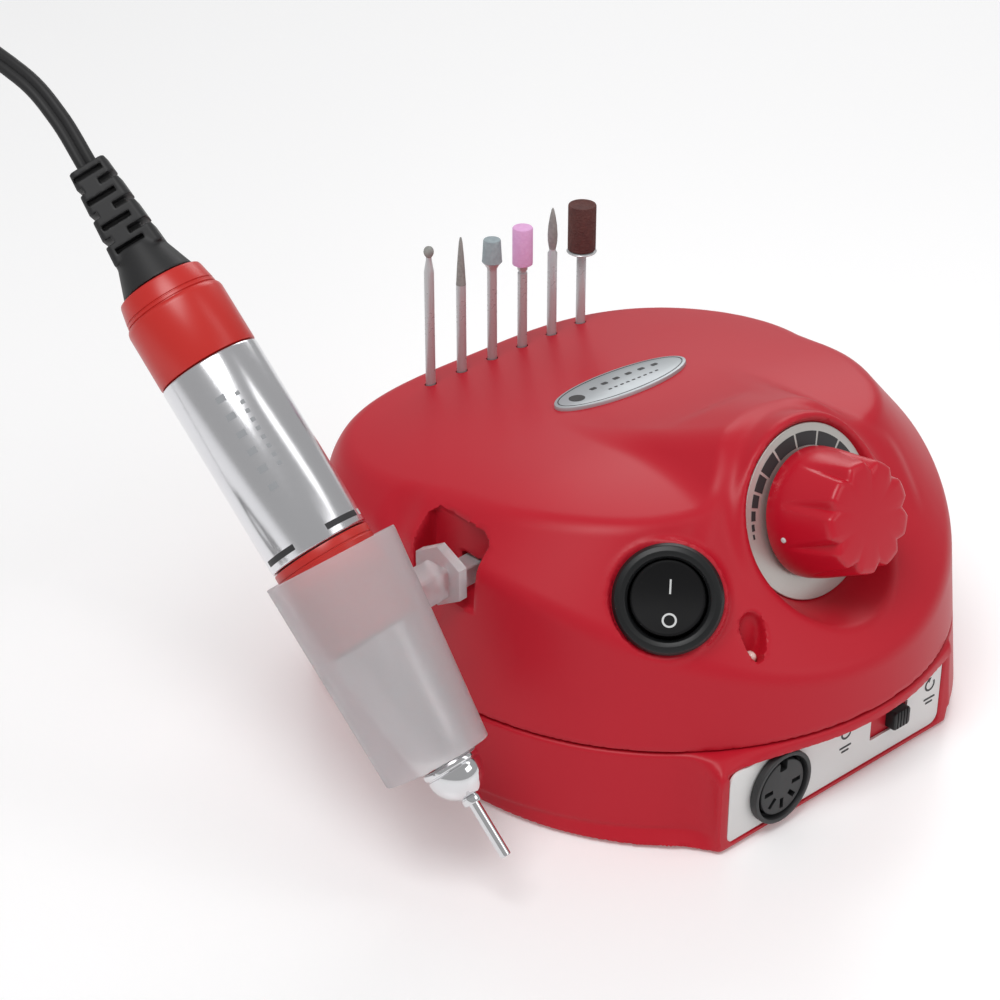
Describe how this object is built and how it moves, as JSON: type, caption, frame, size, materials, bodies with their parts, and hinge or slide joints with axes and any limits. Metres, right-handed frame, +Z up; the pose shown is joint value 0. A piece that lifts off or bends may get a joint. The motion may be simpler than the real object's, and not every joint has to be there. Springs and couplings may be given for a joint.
{
  "type": "electric nail drill",
  "caption": "Desktop electric nail drill: domed control unit with speed dial, rocker and direction switches, rear bit rack, and a corded handpiece resting in a clip-on side cradle.",
  "frame": {"origin": "on the table plane, under the middle of the box round the unit, cradle and handpiece (the free lead left out)", "axes": "+Z up, -Y out of the front panel, +X to the unit's right as seen from the front; the handpiece stands on the -X side"},
  "size_m": [0.3232, 0.1887, 0.1656],
  "materials": {
    "red_case": "satin moulded ABS",
    "red_handpiece": "satin anodised-look red plastic",
    "black_plastic": "moulded",
    "black_rubber": "soft",
    "silver_label": "printed silver film",
    "dial_silver": "brushed plate",
    "steel": "ground",
    "chrome_tip": "polished",
    "aluminium": "satin anodised",
    "frosted_plastic": "frosted translucent",
    "copper": "enamelled winding wire",
    "iron": "plated",
    "board": "solder mask",
    "stone_grey": "grit",
    "stone_pink": "grit",
    "sanding_grit": "abrasive",
    "led_lens": "clear"
  },
  "bodies": {
    "unit": {"upper_shell": "red_case", "base_shell": "red_case", "front_label_plate": "silver_label", "din_socket": "black_plastic", "direction_switch_body": "black_plastic", "rocker_bezel": "black_plastic", "dial_plate": "dial_silver", "potentiometer_body": "iron", "power_led": "led_lens", "name_badge": "dial_silver", "foot_1": "black_rubber", "foot_2": "black_rubber", "foot_3": "black_rubber", "foot_4": "black_rubber", "case_screw_1": "steel", "case_screw_2": "steel", "case_screw_3": "steel", "case_screw_4": "steel", "transformer_core": "iron", "transformer_coil": "copper", "control_board": "board", "filter_capacitor": "black_plastic", "heatsink": "aluminium", "foot_pedal_jack": "black_plastic", "mode_switch_body": "black_plastic", "fuse_holder": "black_plastic", "mains_inlet_gland": "black_rubber", "handpiece_cradle": "frosted_plastic", "lead_coil": "black_rubber", "din_plug": "black_plastic"},
    "rocker": {"rocker_button": "black_plastic"},
    "speed_dial": {"speed_knob": "red_case", "potentiometer_shaft": "steel"},
    "direction_switch": {"direction_slider": "black_plastic"},
    "mode_switch": {"mode_slider": "black_plastic"},
    "bit_1": {"bit_1_ball": "steel"},
    "bit_2": {"bit_2_needle": "steel"},
    "bit_3": {"bit_3_shank": "steel", "bit_3_stone": "stone_grey"},
    "bit_4": {"bit_4_shank": "steel", "bit_4_stone": "stone_pink"},
    "bit_5": {"bit_5_flame": "steel"},
    "bit_6": {"bit_6_mandrel": "steel", "bit_6_sanding_band": "sanding_grit"},
    "handpiece": {"strain_relief": "black_rubber", "rear_cap": "red_handpiece", "barrel_sleeve": "aluminium", "motor_can": "iron", "rear_bearing": "steel", "handpiece_lead": "black_rubber"},
    "nose": {"lock_collar": "red_handpiece", "nose_cone": "aluminium", "nose_tip": "chrome_tip", "front_bearing": "steel"},
    "spindle": {"motor_rotor": "copper", "collet_chuck": "steel"},
    "chuck_bit": {"fitted_bit": "steel"}
  },
  "joints": [
    {"name": "rocker_tilt", "type": "hinge", "parent": "unit", "child": "rocker", "pos_m": [-0.02095, -0.04486, 0.0547], "axis": [0.6832, -0.7303, 0], "range_deg": [0, 14]},
    {"name": "speed_dial_turn", "type": "hinge", "parent": "unit", "child": "speed_dial", "pos_m": [0.02185, -0.04466, 0.059], "axis": [0, 0.9455, -0.3256], "range_deg": [0, 300]},
    {"name": "direction_slide", "type": "slide", "parent": "unit", "child": "direction_switch", "axis": [-1, 0, 0], "range_m": [0, 0.0052]},
    {"name": "mode_slide", "type": "slide", "parent": "unit", "child": "mode_switch", "axis": [1, 0, 0], "range_m": [0, 0.0042]},
    {"name": "bit_1_lift", "type": "slide", "parent": "unit", "child": "bit_1", "axis": [0, 0, 1], "range_m": [0, 0.03]},
    {"name": "bit_2_lift", "type": "slide", "parent": "unit", "child": "bit_2", "axis": [0, 0, 1], "range_m": [0, 0.03]},
    {"name": "bit_3_lift", "type": "slide", "parent": "unit", "child": "bit_3", "axis": [0, 0, 1], "range_m": [0, 0.03]},
    {"name": "bit_4_lift", "type": "slide", "parent": "unit", "child": "bit_4", "axis": [0, 0, 1], "range_m": [0, 0.03]},
    {"name": "bit_5_lift", "type": "slide", "parent": "unit", "child": "bit_5", "axis": [0, 0, 1], "range_m": [0, 0.03]},
    {"name": "bit_6_lift", "type": "slide", "parent": "unit", "child": "bit_6", "axis": [0, 0, 1], "range_m": [0, 0.03]},
    {"name": "handpiece_lift", "type": "slide", "parent": "unit", "child": "handpiece", "axis": [-0.0739, 0.7032, 0.7071], "range_m": [0, 0.1]},
    {"name": "lock_collar_turn", "type": "hinge", "parent": "handpiece", "child": "nose", "pos_m": [-0.07155, -0.00836, 0.053], "axis": [0.0739, -0.7032, -0.7071], "range_deg": [0, 75]},
    {"name": "spindle_spin", "type": "hinge", "parent": "handpiece", "child": "spindle", "pos_m": [-0.07007, -0.02242, 0.03886], "axis": [0.0739, -0.7032, -0.7071], "continuous": true},
    {"name": "chuck_bit_pull", "type": "slide", "parent": "spindle", "child": "chuck_bit", "axis": [0.0739, -0.7032, -0.7071], "range_m": [0, 0.018]}
  ]
}
